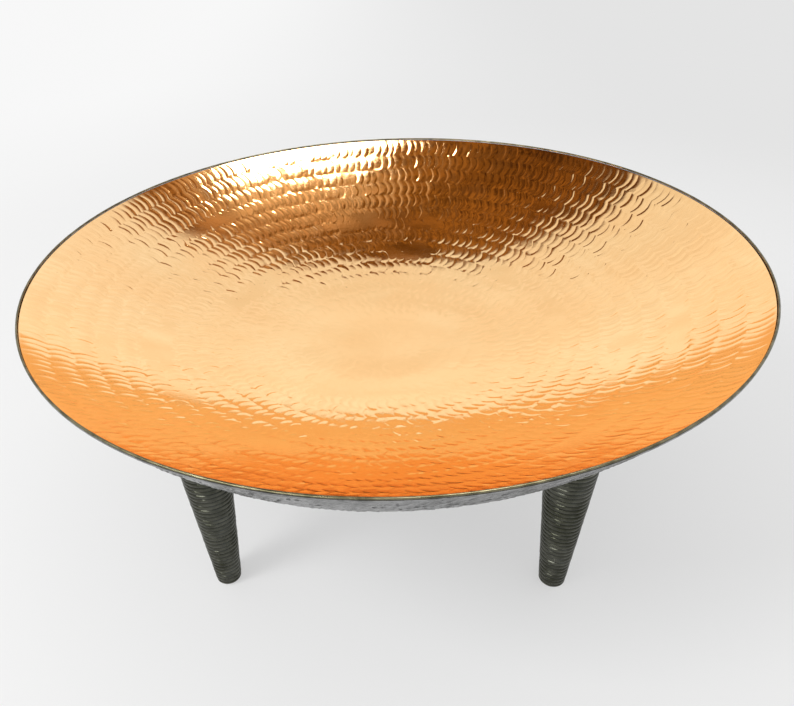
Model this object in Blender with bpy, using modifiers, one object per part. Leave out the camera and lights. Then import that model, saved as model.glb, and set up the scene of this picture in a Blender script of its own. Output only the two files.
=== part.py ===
"""Low round tray table: a hammered double-walled dish on four tapered legs that screw on.

Metres, +Z up. The origin is on the floor under the middle of the dish, and the front is towards -Y.
"""
import math

import bpy

# Dish
RIM_RADIUS = 0.400
RIM_HEIGHT = 0.3425
BEAD_RADIUS = 0.0013
SHEET = 0.0012
GAP = 0.0003
DISH_RADIUS = RIM_RADIUS - 0.0028
DISH_DEPTH = 0.132
DISH_POWER = 2.35
SHELL_RADIUS = RIM_RADIUS - 0.0005
SHELL_LIP = 0.0015
SHELL_DEPTH = 0.155
SHELL_POWER = 3.8
DISH_SEGMENTS = 72
DISH_RINGS = 8
SHELL_RINGS = 10
SHELL_SPACING = 1.3
BEAD_SEGMENTS = 6

# Legs
LEG_CIRCLE_RADIUS = 0.273
LEG_ANGLES = {"front_left": 225, "front_right": 315, "back_right": 45, "back_left": 135}
LEG_WALL = 0.0030
LEG_SEGMENTS = 24
FOOT_RADIUS = 0.0146
LEG_TAPER = 0.0725
FOOT_ROUNDING = 0.0025
FOOT_STEPS = 3
GLIDE_FLANGE = 0.0012
GLIDE_HEIGHT = 0.014
COLLAR_BOTTOM = 0.1880
COLLAR_TOP = 0.2550
LEG_WASHER = 0.0012
PLATE_THICKNESS = 0.005

# Screw fixing of each leg
STUD_RADIUS = 0.0047
STUD_BOTTOM = 0.1700
STUD_TOP = 0.2545
STUD_CHAMFER = 0.0010
THREAD_BORE = STUD_RADIUS + GAP
CLEARANCE_BORE = 0.0062
NUT_CORNERS = 6
NUT_RADIUS = 0.0096
NUT_HEIGHT = 0.0080
NUT_WASHER_RADIUS = 0.0120
NUT_WASHER = 0.0015
BLOCK_RADIUS = 0.0200
BLOCK_TOP = 0.2425
BORE_SEGMENTS = 16

# Where the legs stand the shell leans, so its sheet is this much thicker straight up.
SHEET_RISE = 1.25 * SHEET
WELD_DISTANCE = 0.00001

# Colour, metallic value and roughness of each finish
FINISHES = {
    "polished_copper": ((0.93, 0.56, 0.29), 1.0, 0.12),
    "dark_patina": ((0.17, 0.165, 0.15), 1.0, 0.38),
    "leg_patina": ((0.085, 0.085, 0.07), 1.0, 0.36),
    "zinc_steel": ((0.62, 0.62, 0.60), 1.0, 0.35),
    "fibre": ((0.06, 0.05, 0.045), 0.0, 0.85),
    "glide_plastic": ((0.03, 0.03, 0.03), 0.0, 0.60),
}


def clear_scene():
    """Starts from an empty scene."""
    for obj in list(bpy.data.objects):
        bpy.data.objects.remove(obj, do_unlink=True)


def new_collection(name):
    collection = bpy.data.collections.new(name)
    bpy.context.scene.collection.children.link(collection)
    return collection


def move_to(obj, collection):
    """Puts an object in one collection and in no other."""
    for old in list(obj.users_collection):
        old.objects.unlink(obj)
    collection.objects.link(obj)
    return obj


def paint(obj, finish):
    """Gives an object one of the finishes, each a Principled material made at its first use."""
    material = bpy.data.materials.get(finish)
    if material is None:
        colour, metallic, roughness = FINISHES[finish]
        material = bpy.data.materials.new(finish)
        material.use_nodes = True
        shader = material.node_tree.nodes["Principled BSDF"]
        shader.inputs["Base Color"].default_value = (*colour, 1.0)
        shader.inputs["Metallic"].default_value = metallic
        shader.inputs["Roughness"].default_value = roughness
    obj.data.materials.append(material)
    return obj


def turned(name, outline, collection, segments, closed=False):
    """Turns an outline of (radius, height) points about +Z.

    The outline runs down the outer side. A closed outline makes a ring; an open one makes a sheet,
    or a solid when both its ends are on the axis.
    """
    count = len(outline)
    edges = [(i, (i + 1) % count) for i in range(count if closed else count - 1)]
    mesh = bpy.data.meshes.new(name)
    mesh.from_pydata([(radius, 0.0, height) for radius, height in outline], edges, [])
    obj = bpy.data.objects.new(name, mesh)
    collection.objects.link(obj)
    turn = obj.modifiers.new("turn", "SCREW")
    turn.axis = "Z"
    turn.steps = segments
    turn.render_steps = segments
    turn.use_merge_vertices = True
    turn.merge_threshold = WELD_DISTANCE
    return obj


def thicken(obj, offset):
    """Makes a sheet solid: an offset of 1 grows it outwards, and -1 inwards."""
    sheet = obj.modifiers.new("sheet", "SOLIDIFY")
    sheet.thickness = SHEET
    sheet.offset = offset
    sheet.use_even_offset = True


def ring(name, inner, outer, bottom, top, collection):
    """A plain flat ring, such as a washer."""
    outline = [(outer, top), (outer, bottom), (inner, bottom), (inner, top)]
    return turned(name, outline, collection, LEG_SEGMENTS, closed=True)


def cutting_tool(obj):
    """Marks an object as a tool for a Boolean, which is not part of the table."""
    obj.hide_render = True
    obj.display_type = "WIRE"
    return obj


def rod_tool(name, radius, bottom, top, place, cutters):
    """A round rod that cuts a bore."""
    outline = [(0, top), (radius, top), (radius, bottom), (0, bottom)]
    rod = turned(name, outline, cutters, BORE_SEGMENTS)
    rod.location = place
    return cutting_tool(rod)


def shell_tool(name, lift, cutters):
    """The space that the shell encloses, moved straight up by lift."""
    outline = [(0, RIM_HEIGHT + lift), (SHELL_RADIUS, RIM_HEIGHT + lift)]
    outline += [(radius, height + lift) for radius, height in shell_outline()]
    return cutting_tool(turned(name, outline, cutters, DISH_SEGMENTS))


def cut(obj, tool, operation="DIFFERENCE"):
    boolean = obj.modifiers.new(tool.name, "BOOLEAN")
    boolean.operation = operation
    boolean.solver = "EXACT"
    boolean.object = tool


def sheet_edge():
    """Height of both sheets' upper edge, just under the bead."""
    return RIM_HEIGHT - 2 * BEAD_RADIUS - GAP


def dish_height(radius):
    """Height of the dish's polished face at a distance from its middle."""
    return sheet_edge() - DISH_DEPTH * (1 - (radius / DISH_RADIUS) ** DISH_POWER)


def shell_height(radius):
    """Height of the shell's outer face below its lip: steep under the rim, and nearly flat in the middle."""
    return sheet_edge() - SHELL_LIP - SHELL_DEPTH * (1 - (radius / SHELL_RADIUS) ** SHELL_POWER)


def dish_radii():
    return [DISH_RADIUS * (1 - i / DISH_RINGS) for i in range(DISH_RINGS + 1)]


def shell_outline():
    """The shell's outer face: an upright lip under the bead, then the curve down to the middle."""
    radii = [SHELL_RADIUS * (1 - (i / SHELL_RINGS) ** SHELL_SPACING) for i in range(SHELL_RINGS + 1)]
    return [(SHELL_RADIUS, sheet_edge())] + [(radius, shell_height(radius)) for radius in radii]


def leg_radius(height):
    """Outer radius of a leg and its collar, which are one straight taper from the foot up."""
    return FOOT_RADIUS + LEG_TAPER * height


def leg_place(angle):
    turn = math.radians(angle)
    return (LEG_CIRCLE_RADIUS * math.cos(turn), LEG_CIRCLE_RADIUS * math.sin(turn), 0.0)


def make_dish(table):
    outline = [(radius, dish_height(radius)) for radius in dish_radii()]
    dish = turned("dish_inner", outline, table, DISH_SEGMENTS)
    thicken(dish, 1.0)
    paint(dish, "polished_copper")


def make_shell(table, cutters):
    """The outer skin, with a hole over each leg for the stud."""
    shell = turned("dish_outer", shell_outline(), table, DISH_SEGMENTS)
    thicken(shell, -1.0)
    for corner, angle in LEG_ANGLES.items():
        name = f"stud_hole_{corner}"
        cut(shell, rod_tool(name, CLEARANCE_BORE, COLLAR_BOTTOM, BLOCK_TOP, leg_place(angle), cutters))
    paint(shell, "dark_patina")


def make_bead(table):
    """The round wire that closes the rim over both sheets."""
    bpy.ops.mesh.primitive_torus_add(
        major_segments=DISH_SEGMENTS,
        minor_segments=BEAD_SEGMENTS,
        major_radius=RIM_RADIUS - BEAD_RADIUS,
        minor_radius=BEAD_RADIUS,
        location=(0, 0, RIM_HEIGHT - BEAD_RADIUS),
    )
    bead = move_to(bpy.context.active_object, table)
    bead.name = "rim_bead"
    bead.data.shade_smooth()
    paint(bead, "dark_patina")


def make_nut(name, bottom, place, table, cutters):
    """A six-sided nut with its bore, standing on a height."""
    bpy.ops.mesh.primitive_cylinder_add(
        vertices=NUT_CORNERS,
        radius=NUT_RADIUS,
        depth=NUT_HEIGHT,
        location=(place[0], place[1], bottom + NUT_HEIGHT / 2),
    )
    nut = move_to(bpy.context.active_object, table)
    nut.name = name
    cut(nut, rod_tool(f"bore_{name}", THREAD_BORE, 0.0, RIM_HEIGHT, place, cutters))
    paint(nut, "zinc_steel")


def make_fixing(corner, place, table, cutters):
    """The fixed half of one leg joint: collar under the shell; block, washer and nut inside it."""
    outline = [
        (leg_radius(COLLAR_TOP), COLLAR_TOP),
        (leg_radius(COLLAR_BOTTOM), COLLAR_BOTTOM),
        (CLEARANCE_BORE, COLLAR_BOTTOM),
        (CLEARANCE_BORE, COLLAR_TOP),
    ]
    collar = turned(f"leg_collar_{corner}", outline, table, LEG_SEGMENTS, closed=True)
    collar.location = place
    cut(collar, cutters.objects["under_shell"])
    paint(collar, "leg_patina")

    block = ring(f"mount_block_{corner}", CLEARANCE_BORE, BLOCK_RADIUS, COLLAR_BOTTOM, BLOCK_TOP, table)
    block.location = place
    cut(block, cutters.objects["over_shell"], "INTERSECT")
    paint(block, "zinc_steel")

    bottom = BLOCK_TOP + GAP
    top = bottom + NUT_WASHER
    washer = ring(f"nut_washer_{corner}", THREAD_BORE, NUT_WASHER_RADIUS, bottom, top, table)
    washer.location = place
    paint(washer, "zinc_steel")

    make_nut(f"captive_nut_{corner}", top + GAP, place, table, cutters)


def make_cone(corner, place, bottom, top, table):
    """The hollow leg itself, with its lower edge rounded."""
    outline = [(leg_radius(top), top)]
    side = leg_radius(bottom + FOOT_ROUNDING)
    for i in range(FOOT_STEPS + 1):
        turn = math.radians(90) * i / FOOT_STEPS
        radius = side - FOOT_ROUNDING * (1 - math.cos(turn))
        outline.append((radius, bottom + FOOT_ROUNDING * (1 - math.sin(turn))))
    outline.append((leg_radius(bottom) - LEG_WALL, bottom))
    outline.append((leg_radius(top) - LEG_WALL, top))
    cone = turned(f"leg_cone_{corner}", outline, table, LEG_SEGMENTS, closed=True)
    cone.location = place
    paint(cone, "leg_patina")


def make_plate(corner, place, bottom, top, table):
    """The disc that closes the leg's wide end and carries the stud."""
    outline = [
        (leg_radius(top) - LEG_WALL - GAP, top),
        (leg_radius(bottom) - LEG_WALL - GAP, bottom),
        (THREAD_BORE, bottom),
        (THREAD_BORE, top),
    ]
    plate = turned(f"leg_plate_{corner}", outline, table, LEG_SEGMENTS, closed=True)
    plate.location = place
    paint(plate, "zinc_steel")


def make_stud(corner, place, table):
    outline = [
        (0, STUD_TOP),
        (STUD_RADIUS - STUD_CHAMFER, STUD_TOP),
        (STUD_RADIUS, STUD_TOP - STUD_CHAMFER),
        (STUD_RADIUS, STUD_BOTTOM),
        (0, STUD_BOTTOM),
    ]
    stud = turned(f"leg_stud_{corner}", outline, table, BORE_SEGMENTS)
    stud.location = place
    paint(stud, "zinc_steel")


def make_glide(corner, place, leg_bottom, table):
    """The plug that the foot stands on: a flange under the leg and a stem inside it."""
    stem = leg_radius(0) - LEG_WALL - GAP
    flange = FOOT_RADIUS - FOOT_ROUNDING
    outline = [
        (0, GLIDE_HEIGHT),
        (stem, GLIDE_HEIGHT),
        (stem, leg_bottom),
        (flange, GLIDE_FLANGE),
        (flange, 0),
        (0, 0),
    ]
    glide = turned(f"foot_glide_{corner}", outline, table, LEG_SEGMENTS)
    glide.location = place
    paint(glide, "glide_plastic")


def make_leg(corner, place, table, cutters):
    """The turning half of one leg joint: cone, top plate, stud, its nut and the glide."""
    top = COLLAR_BOTTOM - 2 * GAP - LEG_WASHER
    bottom = GLIDE_FLANGE + GAP
    plate_bottom = top - PLATE_THICKNESS
    make_cone(corner, place, bottom, top, table)
    make_plate(corner, place, plate_bottom, top, table)
    make_nut(f"stud_nut_{corner}", plate_bottom - GAP - NUT_HEIGHT, place, table, cutters)
    make_stud(corner, place, table)
    make_glide(corner, place, bottom, table)


def make_leg_washer(corner, place, table):
    """The fibre ring between collar and leg, which comes down with the leg and need not turn."""
    bottom = COLLAR_BOTTOM - GAP - LEG_WASHER
    top = COLLAR_BOTTOM - GAP
    outer = leg_radius(bottom) - GAP
    washer = ring(f"leg_washer_{corner}", CLEARANCE_BORE, outer, bottom, top, table)
    washer.location = place
    paint(washer, "fibre")


def main():
    clear_scene()
    table = new_collection("tray_table")
    cutters = new_collection("cutters")
    make_dish(table)
    make_shell(table, cutters)
    make_bead(table)
    shell_tool("under_shell", -GAP, cutters)
    shell_tool("over_shell", GAP + SHEET_RISE, cutters)
    for corner, angle in LEG_ANGLES.items():
        place = leg_place(angle)
        make_fixing(corner, place, table, cutters)
        make_leg(corner, place, table, cutters)
        make_leg_washer(corner, place, table)


main()
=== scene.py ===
"""Looks of the hammered tray table: fine surfaces over the frame, materials, floor, light and camera."""
import math

import bpy
import numpy as np
from mathutils import Matrix, Vector


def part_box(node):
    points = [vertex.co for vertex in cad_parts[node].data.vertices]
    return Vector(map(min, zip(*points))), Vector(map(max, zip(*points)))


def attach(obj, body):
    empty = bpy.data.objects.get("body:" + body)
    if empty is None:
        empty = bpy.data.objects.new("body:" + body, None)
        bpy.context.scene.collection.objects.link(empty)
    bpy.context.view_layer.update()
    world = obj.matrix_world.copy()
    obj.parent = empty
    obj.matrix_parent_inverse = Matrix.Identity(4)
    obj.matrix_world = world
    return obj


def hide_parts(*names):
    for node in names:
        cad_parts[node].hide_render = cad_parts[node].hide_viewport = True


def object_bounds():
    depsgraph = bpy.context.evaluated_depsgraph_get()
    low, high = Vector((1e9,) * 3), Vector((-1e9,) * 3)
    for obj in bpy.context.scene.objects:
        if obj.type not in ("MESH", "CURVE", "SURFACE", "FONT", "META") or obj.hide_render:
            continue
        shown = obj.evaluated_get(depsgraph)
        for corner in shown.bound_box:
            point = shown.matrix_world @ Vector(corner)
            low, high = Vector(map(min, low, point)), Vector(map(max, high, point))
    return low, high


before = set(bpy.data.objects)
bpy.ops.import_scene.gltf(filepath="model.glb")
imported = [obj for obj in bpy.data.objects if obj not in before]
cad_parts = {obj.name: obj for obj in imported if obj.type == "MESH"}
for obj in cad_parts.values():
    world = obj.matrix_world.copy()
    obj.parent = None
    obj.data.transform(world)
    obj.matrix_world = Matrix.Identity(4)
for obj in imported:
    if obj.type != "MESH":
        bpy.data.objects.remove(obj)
CAD_LOW, CAD_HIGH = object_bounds()
CORNERS = ("front_left", "front_right", "back_right", "back_left")

# Sizes read from the frame
RIM_RADIUS = CAD_HIGH.x
DISH_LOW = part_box("dish_inner")[0]
SHELL_LOW, SHELL_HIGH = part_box("dish_outer")
CONE_LOW, CONE_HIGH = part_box("leg_cone_front_left")
COLLAR_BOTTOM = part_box("leg_collar_front_left")[0].z

# The dish's two sheets and its rim, as the frame has them
SHEET = 0.0012
GAP = 0.0003
BEAD_RADIUS = 0.0013
DISH_RADIUS = RIM_RADIUS - 0.0028
SHEET_EDGE = SHELL_HIGH.z
RIM_TOP = SHEET_EDGE + GAP + 2 * BEAD_RADIUS
DISH_DEPTH = SHEET_EDGE - DISH_LOW.z - SHEET
DISH_POWER = 2.35
SHELL_RADIUS = RIM_RADIUS - 0.0005
SHELL_LIP = 0.0015
SHELL_DEPTH = SHEET_EDGE - SHELL_LIP - SHELL_LOW.z
SHELL_POWER = 3.8

# Legs, as the frame has them, and their hammered rings
FOOT_RADIUS = 0.0146
LEG_TAPER = 0.0725
LEG_WALL = 0.0030
FOOT_ROUNDING = 0.0025
LEG_BORE = 0.0062
RING_PITCH = 0.0060
RING_HEIGHT = 0.0013
RING_SETBACK = 0.0011
RING_WAVER = 0.09
RING_UNEVENNESS = 0.24
RING_FLATS = 9
FLAT_DEPTH = 0.00010

# Hammer blows: wide crescents in broad rows on the polished face, fine slanted ones outside
INNER_BLOWS = {
    "pitch": 0.0210, "width": 0.0108, "dent": 0.00019, "lean": 0.016, "bulge": 0.42, "slant": 0.25,
    "salt": 11,
}
OUTER_BLOWS = {
    "pitch": 0.0150, "width": 0.0060, "dent": 0.00045, "lean": 0.060, "bulge": 0.25, "slant": 1.6,
    "salt": 31,
}
INNER_ALONG = (0.0, 0.07, 0.28, 0.52, 0.76, 0.93)
INNER_ACROSS = (-0.47, -0.38, -0.18, 0.05, 0.27, 0.44)
OUTER_ALONG = (0.0, 0.12, 0.5, 0.88)
OUTER_ACROSS = (-0.46, -0.30, 0.0, 0.30, 0.46)
CREASE_WANDER = 0.30
BLOW_UNEVENNESS = 0.8

# How far the blows and swells of the polished face die down, as shares of its radius
CENTRE_STRENGTH = 0.16
CENTRE_FADE = (0.20, 0.55)
RIM_FADE = 0.012
SWELL_FADE = 0.05
SWELL_HEIGHT = 0.0003
ROW_WANDER = 0.0010
ROW_WANDER_FADE = 0.06

# The same for the outer skin: metres from its lip, and radii
LIP_FADE = 0.004
UNDER_STRENGTH = 0.3
UNDER_FADE = (0.05, 0.3)

# The fine rim is a little thinner than the frame's, and uneven
BEAD_SHARE = 0.88
BEAD_UNEVENNESS = 0.06
BEAD_CENTRE = 0.94

# Mesh fineness
RIM_STEPS = 720
PLAIN_STEPS = 180
LEG_STEPS = 112
LEG_LEVELS = 300
COLLAR_LEVELS = 60
BEAD_STEPS = 12
PROFILE_STEPS = 4000
CENTRE_STEPS = 24
UNDERSIDE_SHARES = (0.05, 0.10, 0.2, 0.35, 0.45, 0.6, 0.75, 0.88, 1.0)


# ---------------------------------------------------------------- mesh building
def ring_points(radius, height, angle, centre=(0.0, 0.0)):
    """Points round a circle, at the angles given; radius and height are numbers, or one for each point."""
    x = centre[0] + radius * np.cos(angle)
    y = centre[1] + radius * np.sin(angle)
    return np.stack([x, y, np.broadcast_to(height, angle.shape)], axis=1)


def even_angles(steps):
    return np.arange(steps) * 2 * math.pi / steps


def matched_faces(first, second, count):
    """Four-sided faces between two rings whose points match."""
    return [(first + i, second + i, second + (i + 1) % count, first + (i + 1) % count) for i in range(count)]


def pole_faces(ring, count, pole, flip):
    faces = [(ring + i, pole, ring + (i + 1) % count) for i in range(count)]
    return [face[::-1] for face in faces] if flip else faces


def zipped_faces(first, first_ring, second, second_ring):
    """Triangles between two rings round the dish's axis whose points don't match, by order of angle."""
    turn = 2 * math.pi
    a = np.unwrap(np.arctan2(first_ring[:, 1], first_ring[:, 0]))
    b = np.unwrap(np.arctan2(second_ring[:, 1], second_ring[:, 0]))
    start = int(np.argmin(np.abs((b - a[0] + math.pi) % turn - math.pi)))
    b = np.concatenate([b[start:], b[:start] + turn])
    b += turn * round((a[0] - b[0]) / turn)
    a_count, b_count = len(a), len(b)
    a, b = np.append(a, a[0] + turn), np.append(b, b[0] + turn)
    faces = []
    i = j = 0
    while i < a_count or j < b_count:
        here, there = first + i % a_count, second + (start + j) % b_count
        if j == b_count or (i < a_count and a[i + 1] <= b[j + 1]):
            i += 1
            faces.append((here, there, first + i % a_count))
        else:
            j += 1
            faces.append((here, there, second + (start + j) % b_count))
    return faces


def signed_volume(mesh):
    mesh.calc_loop_triangles()
    corners = np.zeros(len(mesh.loop_triangles) * 3, np.int32)
    mesh.loop_triangles.foreach_get("vertices", corners)
    points = np.zeros(len(mesh.vertices) * 3, np.float32)
    mesh.vertices.foreach_get("co", points)
    a, b, c = points.reshape(-1, 3)[corners.reshape(-1, 3)].astype(float).transpose(1, 0, 2)
    return float(np.einsum("ij,ij->i", a, np.cross(b, c)).sum() / 6)


def mesh_from_strips(name, strips, sharp_angle=50):
    """A closed, smooth mesh through strips of rings, in order, whose last ring joins the first.

    The rings of one strip have matching points. A ring of one point is a pole.
    """
    rings = [(number, ring) for number, strip in enumerate(strips) for ring in strip]
    starts = np.cumsum([0] + [len(ring) for _, ring in rings]).tolist()
    faces = []
    for a in range(len(rings)):
        b = (a + 1) % len(rings)
        first, second = rings[a][1], rings[b][1]
        if len(first) == 1 and len(second) == 1:
            continue
        if len(second) == 1:
            faces += pole_faces(starts[a], len(first), starts[b], False)
        elif len(first) == 1:
            faces += pole_faces(starts[b], len(second), starts[a], True)
        elif rings[a][0] == rings[b][0]:
            faces += matched_faces(starts[a], starts[b], len(first))
        else:
            faces += zipped_faces(starts[a], first, starts[b], second)
    mesh = bpy.data.meshes.new(name)
    mesh.from_pydata(np.concatenate([ring for _, ring in rings]).tolist(), [], faces)
    mesh.update()
    if signed_volume(mesh) < 0:
        mesh.flip_normals()
    mesh.shade_smooth()
    mesh.set_sharp_from_angle(angle=math.radians(sharp_angle))
    obj = bpy.data.objects.new(name, mesh)
    bpy.context.scene.collection.objects.link(obj)
    return obj


# ---------------------------------------------------------------- hammer blows
def hash01(i, j, salt):
    """A repeatable value from 0 to 1 for a pair of whole numbers."""
    value = np.sin(i * 127.1 + j * 311.7 + salt * 74.7) * 43758.5453
    return value - np.floor(value)


def sway(angle, salt, waves=(2, 3, 5, 8, 13)):
    """A slow, repeatable wave round a circle, about -1 to 1."""
    total = 0.0
    for n, wave in enumerate(waves):
        phase = 2 * math.pi * hash01(wave, salt, 5)
        total = total + np.sin(wave * angle + phase) / (1 + 0.5 * n)
    return total / 2


def smoothstep(low, high, value):
    share = np.clip((value - low) / (high - low), 0, 1)
    return share * share * (3 - 2 * share)


def blow_row(row, row_radius, across, along, blows):
    """One ring of points through a row of hammer blows: their angles, and their heights in metres.

    Mesh lines follow the creases between blows, so that the creases stay crisp. Each blow is a shallow
    hollow with curved ends, a little unlike the next in width, depth and lean. across runs over the row
    from -0.5 to 0.5, and along is the places over one blow, from 0 at its crease up to 1.
    """
    salt = blows["salt"]
    count = max(6, round(2 * math.pi * row_radius / blows["width"]))
    number = np.arange(count)
    crease = number + CREASE_WANDER * (hash01(row, number, salt) - 0.5) + 9 * hash01(row, 0, salt + 1)
    span = np.append(crease[1:], crease[0] + count) - crease
    along = np.array(along)
    place = crease[:, None] + span[:, None] * along[None, :]
    place = place + blows["bulge"] * (2 * across) ** 2 - blows["slant"] * across
    strength = (1 + BLOW_UNEVENNESS * (hash01(row, number, salt + 2) - 0.5))[:, None]
    lean_along = (2 * hash01(row, number, salt + 3) - 1)[:, None]
    lean_across = (2 * hash01(row, number, salt + 4) - 1)[:, None]

    def height(share):
        lean = lean_along * (share - 0.5) * blows["width"] + lean_across * across * blows["pitch"]
        hollow = 2 - (2 * share - 1) ** 2 - (2 * across) ** 2
        return blows["lean"] * lean - blows["dent"] * strength * hollow

    heights = height(along[None, :])
    heights[:, 0] = (heights[:, 0] + np.roll(height(1.0), 1, axis=0)[:, 0]) / 2
    return (place * 2 * math.pi / count).ravel(), heights.ravel()


# ---------------------------------------------------------------- dish
def dish_height(radius):
    return SHEET_EDGE - DISH_DEPTH * (1 - (radius / DISH_RADIUS) ** DISH_POWER)


def dish_tilt(radius):
    """Slope angle of the polished face, radians."""
    steepest = DISH_DEPTH * DISH_POWER / DISH_RADIUS
    return np.arctan(steepest * (radius / DISH_RADIUS) ** (DISH_POWER - 1))


def slow_swells(x, y):
    """Broad, shallow unevenness of a hand-raised sheet, in metres."""
    u, v = x / RIM_RADIUS, y / RIM_RADIUS
    return SWELL_HEIGHT * (np.sin(9.1 * u + 1.3) * np.sin(7.3 * v + 0.4) + 0.6 * np.sin(17 * u - 11 * v + 2))


def dish_ring(radius, angle, lift):
    """A ring of the polished face, lifted along the face's normal."""
    share = radius / DISH_RADIUS
    strength = CENTRE_STRENGTH + (1 - CENTRE_STRENGTH) * smoothstep(*CENTRE_FADE, share)
    strength = strength * smoothstep(0.0, RIM_FADE, 1 - share)
    radius = radius + ROW_WANDER * sway(angle, 4) * smoothstep(0.0, ROW_WANDER_FADE, 1 - share)
    swell = slow_swells(radius * np.cos(angle), radius * np.sin(angle))
    swell = swell * smoothstep(0.0, SWELL_FADE, 1 - share)
    lift = lift * strength + swell
    tilt = dish_tilt(radius)
    return ring_points(radius - lift * np.sin(tilt), dish_height(radius) + lift * np.cos(tilt), angle)


def make_dish():
    """The inner dish: a hammered upper face and a plain lower one."""
    plain = even_angles(PLAIN_STEPS)
    fine = even_angles(RIM_STEPS)
    strips = [[ring_points(DISH_RADIUS, SHEET_EDGE, fine)]]
    pitch = INNER_BLOWS["pitch"]
    row_count = int((DISH_RADIUS - pitch / 4) / pitch)
    for row in range(row_count):
        middle = DISH_RADIUS - (row + 0.5) * pitch
        strip = []
        for across in INNER_ACROSS:
            angle, lift = blow_row(row, middle, across, INNER_ALONG, INNER_BLOWS)
            strip.append(dish_ring(middle - across * pitch, angle, lift))
        strips.append(strip)
    strips.append([dish_ring(pitch * 0.3, even_angles(CENTRE_STEPS), 0.0)])
    strips.append([dish_ring(0.0, np.zeros(1), 0.0)])
    below = np.array([[0.0, 0.0, dish_height(0.0) - SHEET]])
    strips.append([below])
    strip = []
    for share in UNDERSIDE_SHARES:
        radius = DISH_RADIUS * share
        tilt = dish_tilt(radius)
        height = dish_height(radius) - SHEET * np.cos(tilt)
        strip.append(ring_points(radius + SHEET * np.sin(tilt), height, plain))
    strips.append(strip)
    return mesh_from_strips("hammered_dish", strips)


def shell_profile():
    """Distance down the shell's outer face from the lip, with its radius, height and outward tilt there."""
    radius = SHELL_RADIUS * np.linspace(1, 0, PROFILE_STEPS)
    height = SHEET_EDGE - SHELL_LIP - SHELL_DEPTH * (1 - (radius / SHELL_RADIUS) ** SHELL_POWER)
    distance = np.concatenate([[0], np.cumsum(np.hypot(np.diff(radius), np.diff(height)))])
    tilt = np.arctan2(-np.gradient(height), -np.gradient(radius))
    return distance, radius, height, tilt


def make_shell():
    """The outer shell: a hammered lower face and a plain upper one."""
    places, radii, heights, tilts = shell_profile()

    def at(distance):
        return [float(np.interp(distance, places, values)) for values in (radii, heights, tilts)]

    plain = even_angles(PLAIN_STEPS)
    fine = even_angles(RIM_STEPS)
    lip = ring_points(SHELL_RADIUS, SHEET_EDGE - SHELL_LIP, fine)
    strips = [[ring_points(SHELL_RADIUS, SHEET_EDGE, fine), lip]]
    pitch = OUTER_BLOWS["pitch"]
    row_count = int((places[-1] - pitch / 4) / pitch)
    for row in range(row_count):
        middle = (row + 0.5) * pitch
        strip = []
        for across in OUTER_ACROSS:
            distance = middle + across * pitch
            radius, height, tilt = at(distance)
            angle, lift = blow_row(row, at(middle)[0], across, OUTER_ALONG, OUTER_BLOWS)
            under = UNDER_STRENGTH + (1 - UNDER_STRENGTH) * float(smoothstep(*UNDER_FADE, radius))
            lift = lift * float(smoothstep(0.0, LIP_FADE, distance)) * under
            strip.append(ring_points(radius + lift * math.sin(tilt), height - lift * math.cos(tilt), angle))
        strips.append(strip)
    strips.append([np.array([[0.0, 0.0, heights[-1]]])])
    strips.append([np.array([[0.0, 0.0, heights[-1] + SHEET]])])
    strip = []
    for share in np.linspace(0.96, 0.0, 16):
        radius, height, tilt = at(places[-1] * share)
        strip.append(ring_points(radius - SHEET * math.sin(tilt), height + SHEET * math.cos(tilt), plain))
    strip.append(ring_points(SHELL_RADIUS - SHEET, SHEET_EDGE, plain))
    strips.append(strip)
    return mesh_from_strips("hammered_shell", strips)


def make_bead():
    """The rolled rim, slightly uneven from the hammer."""
    rings = []
    angle = even_angles(RIM_STEPS)
    for i in range(BEAD_STEPS):
        turn = 2 * math.pi * i / BEAD_STEPS
        unevenness = BEAD_UNEVENNESS * sway(angle, 3 + i % 3, (23, 41, 67, 97))
        radius = BEAD_RADIUS * (BEAD_SHARE + unevenness)
        out = RIM_RADIUS - BEAD_CENTRE * BEAD_RADIUS + radius * math.cos(turn)
        rings.append(ring_points(out, RIM_TOP - BEAD_RADIUS + radius * math.sin(turn), angle))
    return mesh_from_strips("rolled_rim", [rings], sharp_angle=180)


# ---------------------------------------------------------------- legs
def leg_radius(height):
    return FOOT_RADIUS + LEG_TAPER * height


def ringed_radius(height, angle, salt):
    """Outer radius of a leg with its hammered rings, which waver a little round the leg."""
    place = height / RING_PITCH + RING_WAVER * sway(angle, salt, (1, 2, 3, 5))
    ring = np.floor(place)
    across = 2 * (place - ring) - 1
    swell = 1 + RING_UNEVENNESS * (hash01(ring, 0, salt) - 0.5)
    ridge = RING_HEIGHT * swell * (1 - across**2)
    flats = RING_FLATS * angle / (2 * math.pi) + 5 * hash01(ring, 1, salt)
    flats = 2 * (flats - np.floor(flats)) - 1
    return leg_radius(height) - RING_SETBACK + ridge - FLAT_DEPTH * (1 - flats**2)


def leg_centre(corner):
    low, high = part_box(f"leg_cone_{corner}")
    return ((low.x + high.x) / 2, (low.y + high.y) / 2)


def make_leg(corner, salt):
    """A hollow leg: ringed outside, plain inside, rounded at the foot."""
    centre = leg_centre(corner)
    angle = even_angles(LEG_STEPS)
    low, high = CONE_LOW.z, CONE_HIGH.z
    rings = []
    for i in range(LEG_LEVELS):
        height = high + (low - high) * i / LEG_LEVELS
        corner_share = max(0.0, 1 - (height - low) / FOOT_ROUNDING)
        pull = FOOT_ROUNDING * (1 - math.sqrt(max(0.0, 1 - corner_share**2)))
        rings.append(ring_points(ringed_radius(height, angle, salt) - pull, height, angle, centre))
    rings.append(ring_points(leg_radius(low) - LEG_WALL, low, angle, centre))
    rings.append(ring_points(leg_radius(high) - LEG_WALL, high, angle, centre))
    return mesh_from_strips(f"ringed_leg_{corner}", [rings])


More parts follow.
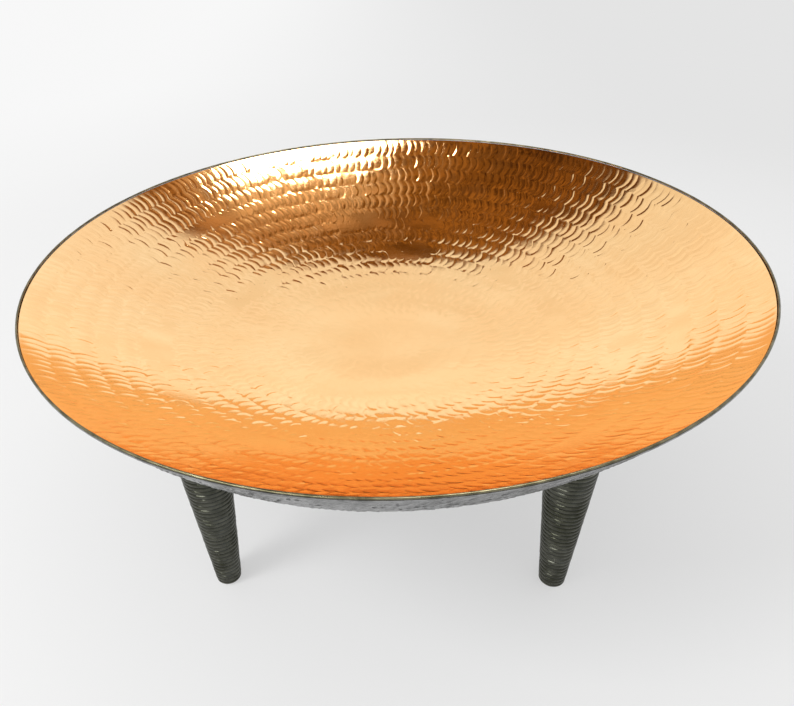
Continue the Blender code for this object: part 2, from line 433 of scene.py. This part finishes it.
def under_shell(centre, radius, angle):
    """Height of the shell's underside over points round a leg's centre."""
    share = np.hypot(centre[0] + radius * np.cos(angle), centre[1] + radius * np.sin(angle)) / SHELL_RADIUS
    return SHEET_EDGE - SHELL_LIP - SHELL_DEPTH * (1 - share**SHELL_POWER) - GAP


def make_collar(corner, salt):
    """The collar over a leg: it carries on the leg's rings up to the shell."""
    centre = leg_centre(corner)
    angle = even_angles(LEG_STEPS)
    top = under_shell(centre, leg_radius(COLLAR_BOTTOM), angle)
    for _ in range(3):
        top = under_shell(centre, leg_radius(top), angle)
    bore_top = under_shell(centre, LEG_BORE, angle)
    rings = []
    for i in range(COLLAR_LEVELS + 1):
        height = top + (COLLAR_BOTTOM - top) * i / COLLAR_LEVELS
        rings.append(ring_points(ringed_radius(height, angle, salt), height, angle, centre))
    rings.append(ring_points(LEG_BORE, COLLAR_BOTTOM, angle, centre))
    rings.append(ring_points(LEG_BORE, bore_top, angle, centre))
    return mesh_from_strips(f"ringed_collar_{corner}", [rings])


# ---------------------------------------------------------------- materials
class Nodes:
    """Builds one node material, with short calls for the nodes that are used often."""

    def __init__(self, name):
        self.material = bpy.data.materials.new(name)
        self.material.use_nodes = True
        self.tree = self.material.node_tree
        self.shader = self.tree.nodes["Principled BSDF"]
        self.place = self.add("ShaderNodeTexCoord").outputs["Object"]

    def add(self, kind, **settings):
        node = self.tree.nodes.new(kind)
        for key, value in settings.items():
            setattr(node, key, value)
        return node

    def join(self, source, target):
        self.tree.links.new(source, target)

    def feed(self, node, values):
        """Sets a node's inputs, each from a value or from another node's output."""
        for key, value in values.items():
            if isinstance(value, bpy.types.NodeSocket):
                self.join(value, node.inputs[key])
            else:
                node.inputs[key].default_value = value
        return node

    def noise(self, scale, detail=4.0, rough=0.5, vector=None, distortion=0.0):
        node = self.add("ShaderNodeTexNoise")
        inputs = {"Vector": vector or self.place, "Scale": scale, "Detail": detail}
        inputs.update({"Roughness": rough, "Distortion": distortion})
        return self.feed(node, inputs).outputs["Fac"]

    def stretch(self, scale):
        node = self.add("ShaderNodeMapping")
        return self.feed(node, {"Vector": self.place, "Scale": scale}).outputs["Vector"]

    def span(self, value, low, high, to_low, to_high):
        node = self.add("ShaderNodeMapRange", interpolation_type="SMOOTHSTEP")
        inputs = {"Value": value, "From Min": low, "From Max": high, "To Min": to_low, "To Max": to_high}
        return self.feed(node, inputs).outputs["Result"]

    def mix(self, factor, first, second, blend="MIX"):
        node = self.add("ShaderNodeMix", data_type="RGBA", blend_type=blend)
        node.inputs["Factor"].default_value = 0.0
        for index, value in ((0, factor), (6, first), (7, second)):
            if isinstance(value, bpy.types.NodeSocket):
                self.join(value, node.inputs[index])
            else:
                node.inputs[index].default_value = value
        return node.outputs[2]

    def maths(self, operation, first, second=0.0):
        node = self.add("ShaderNodeMath", operation=operation)
        return self.feed(node, {0: first, 1: second}).outputs["Value"]

    def polar(self):
        """Radius and angle round the dish's middle."""
        parts = self.feed(self.add("ShaderNodeSeparateXYZ"), {"Vector": self.place})
        x, y = parts.outputs["X"], parts.outputs["Y"]
        squares = self.maths("ADD", self.maths("MULTIPLY", x, x), self.maths("MULTIPLY", y, y))
        return self.maths("SQRT", squares), self.maths("ARCTAN2", y, x)

    def bump(self, height, distance, normal=None):
        inputs = {"Height": height, "Distance": distance, "Strength": 1.0}
        if normal is not None:
            inputs["Normal"] = normal
        return self.feed(self.add("ShaderNodeBump"), inputs).outputs["Normal"]

    def finish(self, **inputs):
        names = {"color": "Base Color", "metallic": "Metallic", "roughness": "Roughness", "normal": "Normal"}
        names["tint"] = "Specular Tint"
        self.feed(self.shader, {names[key]: value for key, value in inputs.items()})
        return self.material


def rgb(red, green, blue):
    return (red, green, blue, 1.0)


def grey(value):
    return rgb(value, value, value)


# Copper: two shades, its specks, the colour it gives what it mirrors at a glancing angle, and its roughness
COPPER = (rgb(0.985, 0.605, 0.270), rgb(0.990, 0.645, 0.305))
COPPER_SPECK = rgb(0.35, 0.16, 0.05)
COPPER_GLANCING = rgb(1.0, 0.89, 0.74)
COPPER_ROUGHNESS = (0.055, 0.095)

# Patinas: the dark and the light of their blotches, their roughness, and the colour of rubbed places
SHELL_PATINA = (rgb(0.13, 0.13, 0.128), grey(0.18), 0.24, grey(0.36))
RIM_PATINA = (rgb(0.033, 0.032, 0.015), rgb(0.072, 0.068, 0.038), 0.32, rgb(0.22, 0.20, 0.12))
LEG_PATINA = (rgb(0.020, 0.021, 0.012), rgb(0.054, 0.055, 0.045), 0.24, rgb(0.26, 0.26, 0.21))
RUBBED_AT = (0.50, 0.56)
PATINA_GRAIN = 60.0

STEEL = (rgb(0.50, 0.50, 0.49), rgb(0.70, 0.70, 0.67))
FIBRE = (rgb(0.02, 0.018, 0.016), rgb(0.06, 0.05, 0.045), 0.85, 220.0)
GLIDE_PLASTIC = (grey(0.012), grey(0.03), 0.55, 300.0)


def copper_material():
    """Polished copper-coloured sheet: faint clouds, ring-shaped polishing lines, specks and fine dents."""
    n = Nodes("polished_copper")
    radius, angle = n.polar()
    cloud = n.noise(7.0, detail=6.0, rough=0.6)
    colour = n.mix(n.span(cloud, 0.35, 0.65, 0.0, 1.0), *COPPER)
    across, along = n.maths("MULTIPLY", radius, 900.0), n.maths("MULTIPLY", angle, 5.0)
    lines = n.feed(n.add("ShaderNodeCombineXYZ"), {"X": across, "Y": along})
    polish = n.noise(1.0, detail=3.0, vector=lines.outputs["Vector"])
    specks = n.feed(n.add("ShaderNodeTexVoronoi"), {"Vector": n.place, "Scale": 55.0})
    speck = n.span(specks.outputs["Distance"], 0.02, 0.06, 1.0, 0.0)
    rare = n.span(n.noise(23.0, detail=2.0), 0.60, 0.66, 0.0, 1.0)
    speck = n.maths("MULTIPLY", speck, rare)
    colour = n.mix(n.maths("MULTIPLY", speck, 0.55), colour, COPPER_SPECK)
    rough = n.span(n.noise(38.0, detail=5.0), 0.3, 0.7, *COPPER_ROUGHNESS)
    rough = n.maths("ADD", rough, n.maths("MULTIPLY", polish, 0.03))
    fine = n.bump(n.noise(140.0, detail=4.0), 0.00006)
    fine = n.bump(polish, 0.00001, normal=fine)
    return n.finish(color=colour, metallic=1.0, roughness=rough, normal=fine, tint=COPPER_GLANCING)


def patina_material(name, dark, light, rough, rub):
    """Dark patina on metal: blotches, a fine grain, and raised places rubbed lighter."""
    n = Nodes(name)
    blotch = n.span(n.noise(14.0, detail=8.0, rough=0.65), 0.35, 0.65, 0.0, 1.0)
    colour = n.mix(blotch, dark, light)
    raised = n.add("ShaderNodeNewGeometry").outputs["Pointiness"]
    worn = n.span(raised, *RUBBED_AT, 0.0, 1.0)
    worn = n.maths("MULTIPLY", worn, n.span(n.noise(90.0, detail=5.0), 0.35, 0.65, 0.3, 1.0))
    colour = n.mix(worn, colour, rub)
    roughness = n.span(n.noise(PATINA_GRAIN, detail=6.0), 0.3, 0.7, rough - 0.07, rough + 0.09)
    normal = n.bump(n.noise(PATINA_GRAIN * 6, detail=5.0, rough=0.6), 0.00008)
    return n.finish(color=colour, metallic=1.0, roughness=roughness, normal=normal)


def steel_material():
    """Zinc-plated steel, with a faint turned grain."""
    n = Nodes("zinc_steel")
    grain = n.noise(60.0, detail=4.0, vector=n.stretch((3.0, 3.0, 30.0)))
    colour = n.mix(n.noise(45.0, detail=6.0), *STEEL)
    rough = n.span(grain, 0.3, 0.7, 0.28, 0.45)
    return n.finish(color=colour, metallic=1.0, roughness=rough, normal=n.bump(grain, 0.00003))


def matt_material(name, dark, light, roughness, grain):
    """Matt black fibre or plastic with a fine grain."""
    n = Nodes(name)
    speckle = n.noise(grain, detail=6.0, rough=0.6)
    colour = n.mix(speckle, dark, light)
    return n.finish(color=colour, metallic=0.0, roughness=roughness, normal=n.bump(speckle, 0.00005))


def set_material(obj, material):
    obj.data.materials.clear()
    obj.data.materials.append(material)


# ---------------------------------------------------------------- object
def show(piece, body, nodes, material):
    """Puts a fine piece in place of CAD nodes."""
    set_material(piece, material)
    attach(piece, body)
    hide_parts(*nodes)


def build_table():
    copper = copper_material()
    shell = patina_material("shell_patina", *SHELL_PATINA)
    rim = patina_material("rim_patina", *RIM_PATINA)
    leg = patina_material("leg_patina", *LEG_PATINA)
    steel = steel_material()
    fibre = matt_material("fibre", *FIBRE)
    plastic = matt_material("glide_plastic", *GLIDE_PLASTIC)

    show(make_dish(), "tray", ["dish_inner"], copper)
    show(make_shell(), "tray", ["dish_outer"], shell)
    show(make_bead(), "tray", ["rim_bead"], rim)
    for number, corner in enumerate(CORNERS):
        show(make_leg(corner, 50 + number), f"leg_{corner}", [f"leg_cone_{corner}"], leg)
        show(make_collar(corner, 50 + number), "tray", [f"leg_collar_{corner}"], leg)
        set_material(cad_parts[f"leg_washer_{corner}"], fibre)
        set_material(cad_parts[f"foot_glide_{corner}"], plastic)
        for part in ("mount_block", "nut_washer", "captive_nut", "leg_plate", "leg_stud", "stud_nut"):
            set_material(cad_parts[f"{part}_{corner}"], steel)


# ---------------------------------------------------------------- studio
# The camera's place and aim were fitted to the rim. Its shifts were fitted to the two feet and the legs'
# lean, taking the legs as upright and a quarter turn apart, with the best-fitting focal length of five tried.
# Focal length and shift to the right were then changed a little.
CAMERA_TURN = math.radians(0.93)
CAMERA_BACK = 1.8553 * RIM_RADIUS
CAMERA_UP = 0.8671 * RIM_RADIUS
CAMERA_YAW = -0.08506
CAMERA_PITCH = 0.61778
CAMERA_ROLL = -0.07453
FOCAL_SHARE = 0.8845
SENSOR = 36.0
SHIFT_RIGHT = 0.0766
SHIFT_UP = 0.0300

# Brightness of the backdrop as the camera and the dull surfaces see it
BACKDROP_SEEN = 0.89
FILL = 0.84

# What shiny surfaces mirror instead: a pale backdrop, from left to right and from low to high, with an orange
# band low down behind the table. Places across are x for each metre up; the others are a direction's z or y.
PALE_ACROSS = (-1.5, 1.5)
PALE_LEFT = grey(1.0)
PALE_RIGHT = rgb(1.06, 1.10, 1.22)
PALE_UPWARDS = (0.05, 0.80)
PALE_LOW = grey(1.12)
PALE_HIGH = grey(0.93)
HORIZON_ABOVE = (-0.04, 0.0)
HORIZON_BELOW = (0.23, 0.13)
HORIZON_BEHIND = (0.5, 0.8)
HORIZON_COLOUR = rgb(0.95, 0.62, 0.32)

# A warm ceiling over it: the degrees at which it starts, the y for each metre up at which it ends behind the
# table, its browns from left to right with the places where each takes over, and the glow round the softbox
CEILING_STARTS = (46, 53)
CEILING_ENDS = (0.72, 0.58)
CEILING_LEFT = rgb(0.11, 0.045, 0.009)
CEILING_BROWNS = (
    (-0.50, -0.25, rgb(0.21, 0.090, 0.018)),
    (-0.08, 0.25, rgb(0.34, 0.18, 0.080)),
    (0.30, 0.48, rgb(0.22, 0.095, 0.020)),
)
PATCH_SCALE = 5.0
PATCH_SHIFT = 0.7
GLOW_CENTRE = (0.30, 0.12)
GLOW_REACH = (0.42, 0.12)
GLOW_COLOUR = rgb(0.62, 0.42, 0.25)
MOTTLE_SCALE = 16.0
MOTTLE_SPAN = (0.36, 0.64)
MOTTLE_CEILING = (rgb(0.50, 0.46, 0.40), rgb(1.60, 1.65, 1.75))
MOTTLE_PALE = (rgb(0.93, 0.90, 0.86), rgb(1.05, 1.07, 1.11))

# Floor: its paper, and the glow that stands in for light from all round
FLOOR_SIZE = 18.0
PAPER = (grey(0.80), rgb(0.825, 0.825, 0.82))
GLOW_SHARE = (0.55, 1.0)
GLOW_RADII = (0.8, 2.6)
NEAR_RADII = (0.8, 1.8)
FLOOR_ACROSS = (-1.2, 1.0)
FLOOR_LEFT = grey(0.936)
FLOOR_RIGHT = grey(0.776)
FLOOR_NEAR = grey(0.872)

# Lamps: azimuth, elevation, distance, width, height and power. Softbox and glint give no diffuse light.
SOFTBOX = (105, 75.5, 9.0, 4.75, 3.6, 750.0)
SOFTBOX_ALONG = Vector((0.81, 0.59, 0))
KEY = (-125, 42, 2.6, 0.8, 0.8, 33.0)
GLINT = (-150, 17, 3.0, 1.6, 0.8, 44.0)


def make_camera():
    """The camera, in front of the table, looking down into the dish."""
    data = bpy.data.cameras.new("camera")
    data.sensor_fit = "HORIZONTAL"
    data.sensor_width = SENSOR
    data.lens = FOCAL_SHARE * SENSOR
    data.shift_x = SHIFT_RIGHT
    data.shift_y = SHIFT_UP
    camera = bpy.data.objects.new("camera", data)
    bpy.context.scene.collection.objects.link(camera)
    forward = Vector((
        math.sin(CAMERA_YAW) * math.cos(CAMERA_PITCH),
        math.cos(CAMERA_YAW) * math.cos(CAMERA_PITCH),
        -math.sin(CAMERA_PITCH),
    ))
    level_right = Vector((math.cos(CAMERA_YAW), -math.sin(CAMERA_YAW), 0.0))
    level_up = level_right.cross(forward)
    right = level_right * math.cos(CAMERA_ROLL) + level_up * math.sin(CAMERA_ROLL)
    up = level_up * math.cos(CAMERA_ROLL) - level_right * math.sin(CAMERA_ROLL)
    turn = Matrix.Rotation(CAMERA_TURN, 4, "Z")
    axes = Matrix((right, up, -forward)).transposed().to_4x4()
    place = Matrix.Translation((0.0, -CAMERA_BACK, RIM_TOP + CAMERA_UP))
    camera.matrix_world = turn @ place @ axes
    bpy.context.scene.camera = camera


def direction(azimuth, elevation):
    """Unit vector towards an azimuth (degrees clockwise from +Y, seen from above) and elevation."""
    a, e = math.radians(azimuth), math.radians(elevation)
    return Vector((math.sin(a) * math.cos(e), math.cos(a) * math.cos(e), math.sin(e)))


def area_light(name, lamp, only_mirrored, along=Vector((1, 0, 0))):
    """A rectangular lamp that faces the rim's middle, its width as nearly as it can along a direction."""
    azimuth, elevation, distance, width, height, power = lamp
    towards = direction(azimuth, elevation)
    data = bpy.data.lights.new(name, "AREA")
    data.shape = "RECTANGLE"
    data.size = width
    data.size_y = height
    data.energy = power
    light = bpy.data.objects.new(name, data)
    bpy.context.scene.collection.objects.link(light)
    side = (along - towards * along.dot(towards)).normalized()
    axes = Matrix((side, towards.cross(side), towards)).transposed().to_4x4()
    light.matrix_world = Matrix.Translation(Vector((0, 0, RIM_TOP)) + towards * distance) @ axes
    light.visible_diffuse = not only_mirrored


def make_world():
    """A plain pale backdrop, and for shiny surfaces one with an orange band and a warm ceiling instead.

    The ceiling shows only at a reflection's first bounce, so the far wall's image in the near one is free of
    it. It ends in a straight edge behind the table, and glows round the softbox.
    """
    world = bpy.data.worlds.new("studio")
    bpy.context.scene.world = world
    world.use_nodes = True
    tree = world.node_tree
    tree.nodes.clear()

    def add(kind, **settings):
        node = tree.nodes.new(kind)
        for key, value in settings.items():
            setattr(node, key, value)
        return node

    def maths(operation, first, second):
        node = add("ShaderNodeMath", operation=operation)
        for index, value in enumerate((first, second)):
            if isinstance(value, bpy.types.NodeSocket):
                tree.links.new(value, node.inputs[index])
            else:
                node.inputs[index].default_value = value
        return node.outputs["Value"]

    def ramp(value, low, high):
        node = add("ShaderNodeMapRange", interpolation_type="SMOOTHSTEP")
        tree.links.new(value, node.inputs["Value"])
        node.inputs["From Min"].default_value = low
        node.inputs["From Max"].default_value = high
        return node.outputs["Result"]

    def mix(factor, first, second, blend="MIX"):
        node = add("ShaderNodeMix", data_type="RGBA", blend_type=blend)
        tree.links.new(factor, node.inputs[0])
        for index, value in ((6, first), (7, second)):
            if isinstance(value, bpy.types.NodeSocket):
                tree.links.new(value, node.inputs[index])
            else:
                node.inputs[index].default_value = value
        return node.outputs[2]

    coords = add("ShaderNodeTexCoord")
    parts = add("ShaderNodeSeparateXYZ")
    tree.links.new(coords.outputs["Generated"], parts.inputs["Vector"])
    height = maths("MAXIMUM", parts.outputs["Z"], 0.05)
    rightwards = maths("DIVIDE", parts.outputs["X"], height)
    away = maths("DIVIDE", parts.outputs["Y"], height)

    def noise(scale, detail):
        node = add("ShaderNodeTexNoise")
        node.inputs["Scale"].default_value = scale
        node.inputs["Detail"].default_value = detail
        tree.links.new(coords.outputs["Generated"], node.inputs["Vector"])
        return node.outputs["Fac"]

    full = add("ShaderNodeValue")
    full.outputs["Value"].default_value = 1.0

    def multiply(first, second):
        return mix(full.outputs["Value"], first, second, "MULTIPLY")

    path = add("ShaderNodeLightPath")
    first_bounce = ramp(path.outputs["Glossy Depth"], 1.6, 1.4)
    start, full_start = [math.sin(math.radians(angle)) for angle in CEILING_STARTS]
    overhead = ramp(parts.outputs["Z"], start, full_start)
    ceiling = maths("MULTIPLY", maths("MULTIPLY", overhead, ramp(away, *CEILING_ENDS)), first_bounce)
    patchy = maths("MULTIPLY", maths("SUBTRACT", noise(PATCH_SCALE, 4.0), 0.5), PATCH_SHIFT)
    place = maths("ADD", rightwards, patchy)
    brown = CEILING_LEFT
    for low, high, colour in CEILING_BROWNS:
        brown = mix(ramp(place, low, high), brown, colour)
    aside = maths("SUBTRACT", rightwards, GLOW_CENTRE[0])
    beyond = maths("SUBTRACT", away, GLOW_CENTRE[1])
    squares = maths("ADD", maths("MULTIPLY", aside, aside), maths("MULTIPLY", beyond, beyond))
    brown = mix(ramp(maths("SQRT", squares, 0.0), *GLOW_REACH), brown, GLOW_COLOUR)
    mottle = ramp(noise(MOTTLE_SCALE, 5.0), *MOTTLE_SPAN)
    brown = multiply(brown, mix(mottle, *MOTTLE_CEILING))

    pale = mix(ramp(rightwards, *PALE_ACROSS), PALE_LEFT, PALE_RIGHT)
    pale = multiply(pale, mix(ramp(parts.outputs["Z"], *PALE_UPWARDS), PALE_LOW, PALE_HIGH))
    pale = multiply(pale, mix(mottle, *MOTTLE_PALE))
    level = ramp(parts.outputs["Z"], *HORIZON_BELOW)
    level = maths("MULTIPLY", level, ramp(parts.outputs["Z"], *HORIZON_ABOVE))
    level = maths("MULTIPLY", level, ramp(parts.outputs["Y"], *HORIZON_BEHIND))
    pale = mix(level, pale, HORIZON_COLOUR)
    mirrored = mix(ceiling, pale, brown)

    seen = mix(path.outputs["Is Camera Ray"], grey(FILL), grey(BACKDROP_SEEN))
    shown = mix(path.outputs["Is Glossy Ray"], seen, mirrored)
    background = add("ShaderNodeBackground")
    tree.links.new(shown, background.inputs["Color"])
    output = add("ShaderNodeOutputWorld")
    tree.links.new(background.outputs["Background"], output.inputs["Surface"])


def make_floor():
    """A plain pale floor, part lit and part glowing so that its shadows stay soft, and clear from below."""
    bpy.ops.mesh.primitive_plane_add(size=FLOOR_SIZE, location=(0, 0, CAD_LOW.z))
    floor = bpy.context.active_object
    floor.name = "floor"
    n = Nodes("floor")
    radius, _ = n.polar()
    n.finish(color=n.mix(n.noise(3.0, detail=5.0), *PAPER), metallic=0.0, roughness=0.9)
    # Painted light: the glow is brighter to the left and darker to the right away from the table, one even
    # tone near it, and it takes over from the lit paper farther out
    side = n.feed(n.add("ShaderNodeSeparateXYZ"), {"Vector": n.place}).outputs["X"]
    tone = n.mix(n.span(side, *FLOOR_ACROSS, 0.0, 1.0), FLOOR_LEFT, FLOOR_RIGHT)
    tone = n.mix(n.span(radius, *NEAR_RADII, 0.0, 1.0), FLOOR_NEAR, tone)
    glow = n.feed(n.add("ShaderNodeEmission"), {"Color": tone, "Strength": 1.0}).outputs["Emission"]
    share = n.span(radius, *GLOW_RADII, *GLOW_SHARE)
    blend = n.feed(n.add("ShaderNodeMixShader"), {0: share, 1: n.shader.outputs["BSDF"], 2: glow})
    below = n.add("ShaderNodeNewGeometry").outputs["Backfacing"]
    clear = n.add("ShaderNodeBsdfTransparent").outputs["BSDF"]
    blend = n.feed(n.add("ShaderNodeMixShader"), {0: below, 1: blend.outputs["Shader"], 2: clear})
    n.join(blend.outputs["Shader"], n.tree.nodes["Material Output"].inputs["Surface"])
    set_material(floor, n.material)


def build_studio():
    make_floor()
    make_world()
    area_light("softbox", SOFTBOX, True, along=SOFTBOX_ALONG)
    area_light("key", KEY, False)
    area_light("glint", GLINT, True)
    make_camera()
    bpy.context.scene.view_settings.view_transform = "Standard"


build_table()
build_studio()
